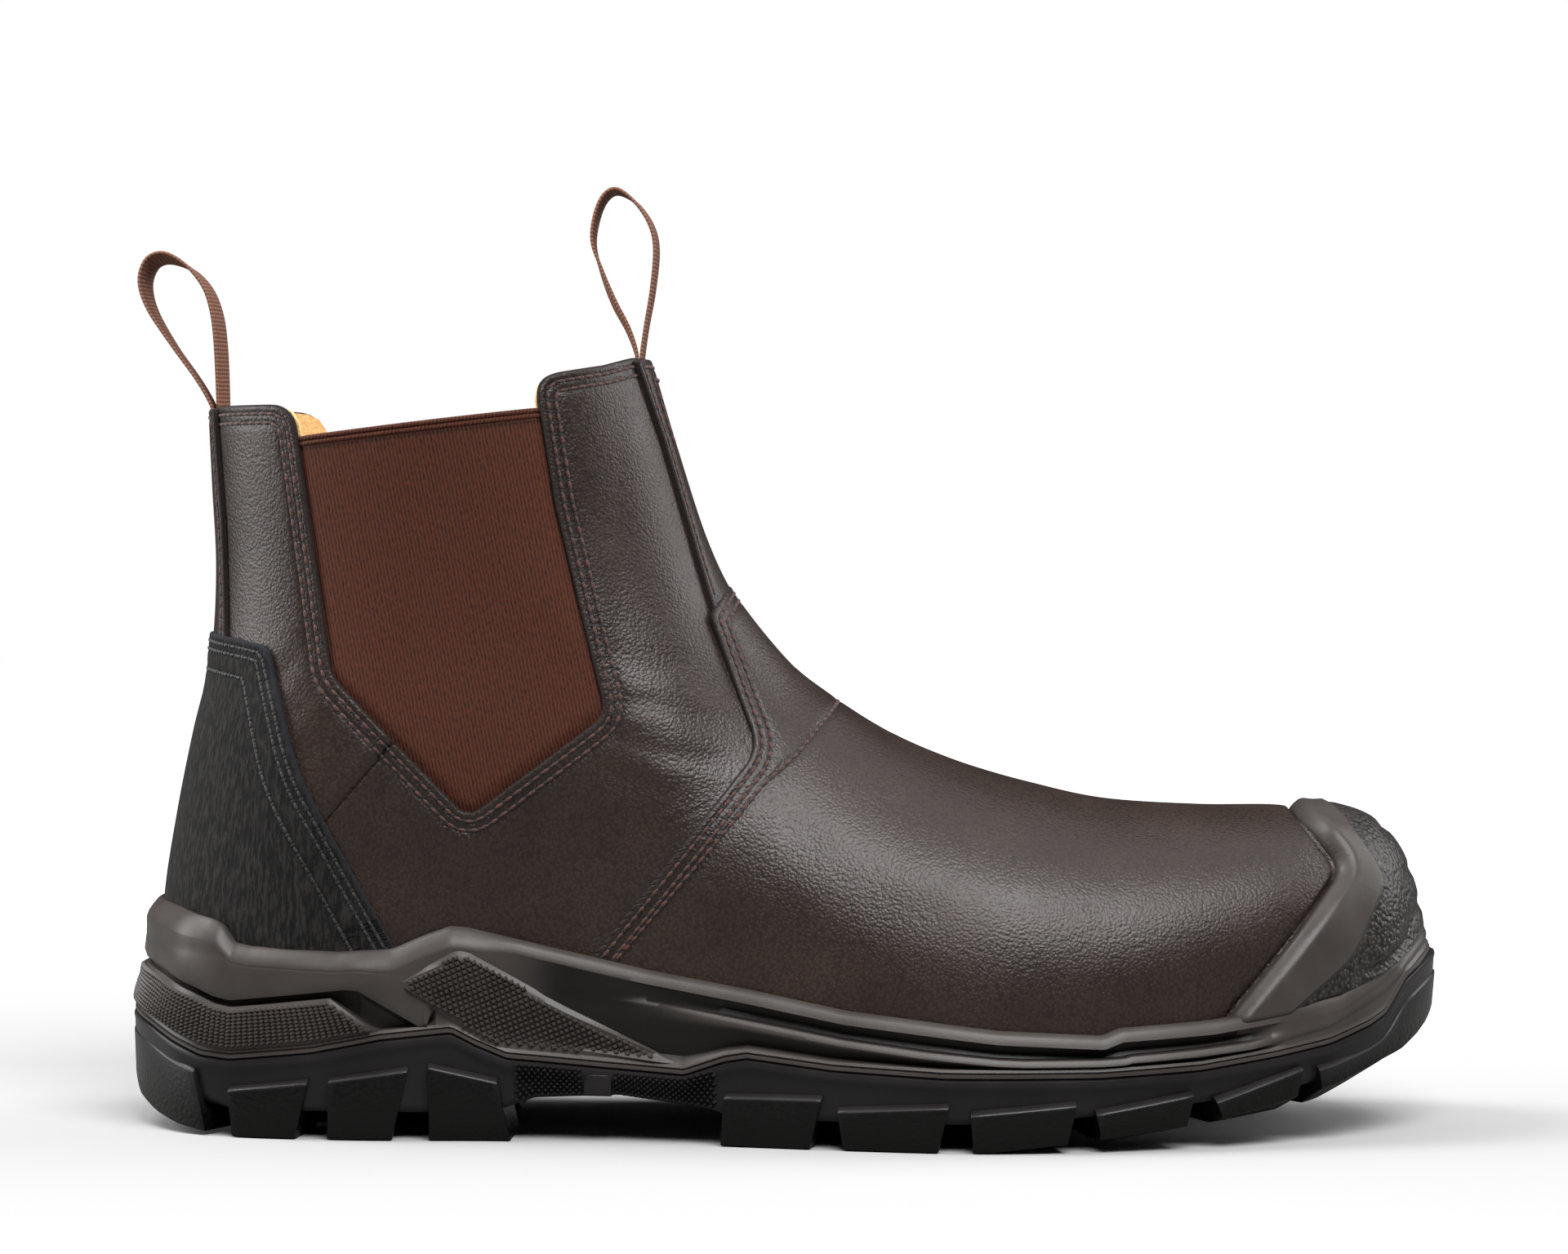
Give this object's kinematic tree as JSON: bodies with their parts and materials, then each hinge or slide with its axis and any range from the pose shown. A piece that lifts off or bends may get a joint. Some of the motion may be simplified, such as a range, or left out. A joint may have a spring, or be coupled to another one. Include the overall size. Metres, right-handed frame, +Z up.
{
  "type": "pull-on safety boot",
  "caption": "Right ankle-high pull-on safety boot: leather upper with elastic side gussets, pull loops, moulded midsole with toe guard and lugged rubber outsole.",
  "frame": {"origin": "on the floor under the middle of the boot's bounding box", "axes": "+X from heel to toe, +Y to the inner side of the foot, +Z up"},
  "size_m": [0.3055, 0.1086, 0.2182],
  "materials": {
    "outsole_rubber": "matt black rubber",
    "midsole_pu": "dark brown-black moulded polyurethane",
    "insole_cloth": "tan cloth",
    "upper_leather": "smooth dark brown leather",
    "elastic": "brown ribbed elastic webbing",
    "counter_cloth": "black napped cloth",
    "tape": "brown woven tape"
  },
  "bodies": {
    "root": {"outsole": "outsole_rubber", "midsole": "midsole_pu", "insole": "insole_cloth", "upper": "upper_leather", "gusset_outer": "elastic", "gusset_inner": "elastic", "counter_patch": "counter_cloth", "back_strip": "upper_leather", "front_strip": "upper_leather", "pull_loop_rear": "tape", "pull_loop_front": "tape"}
  },
  "joints": []
}
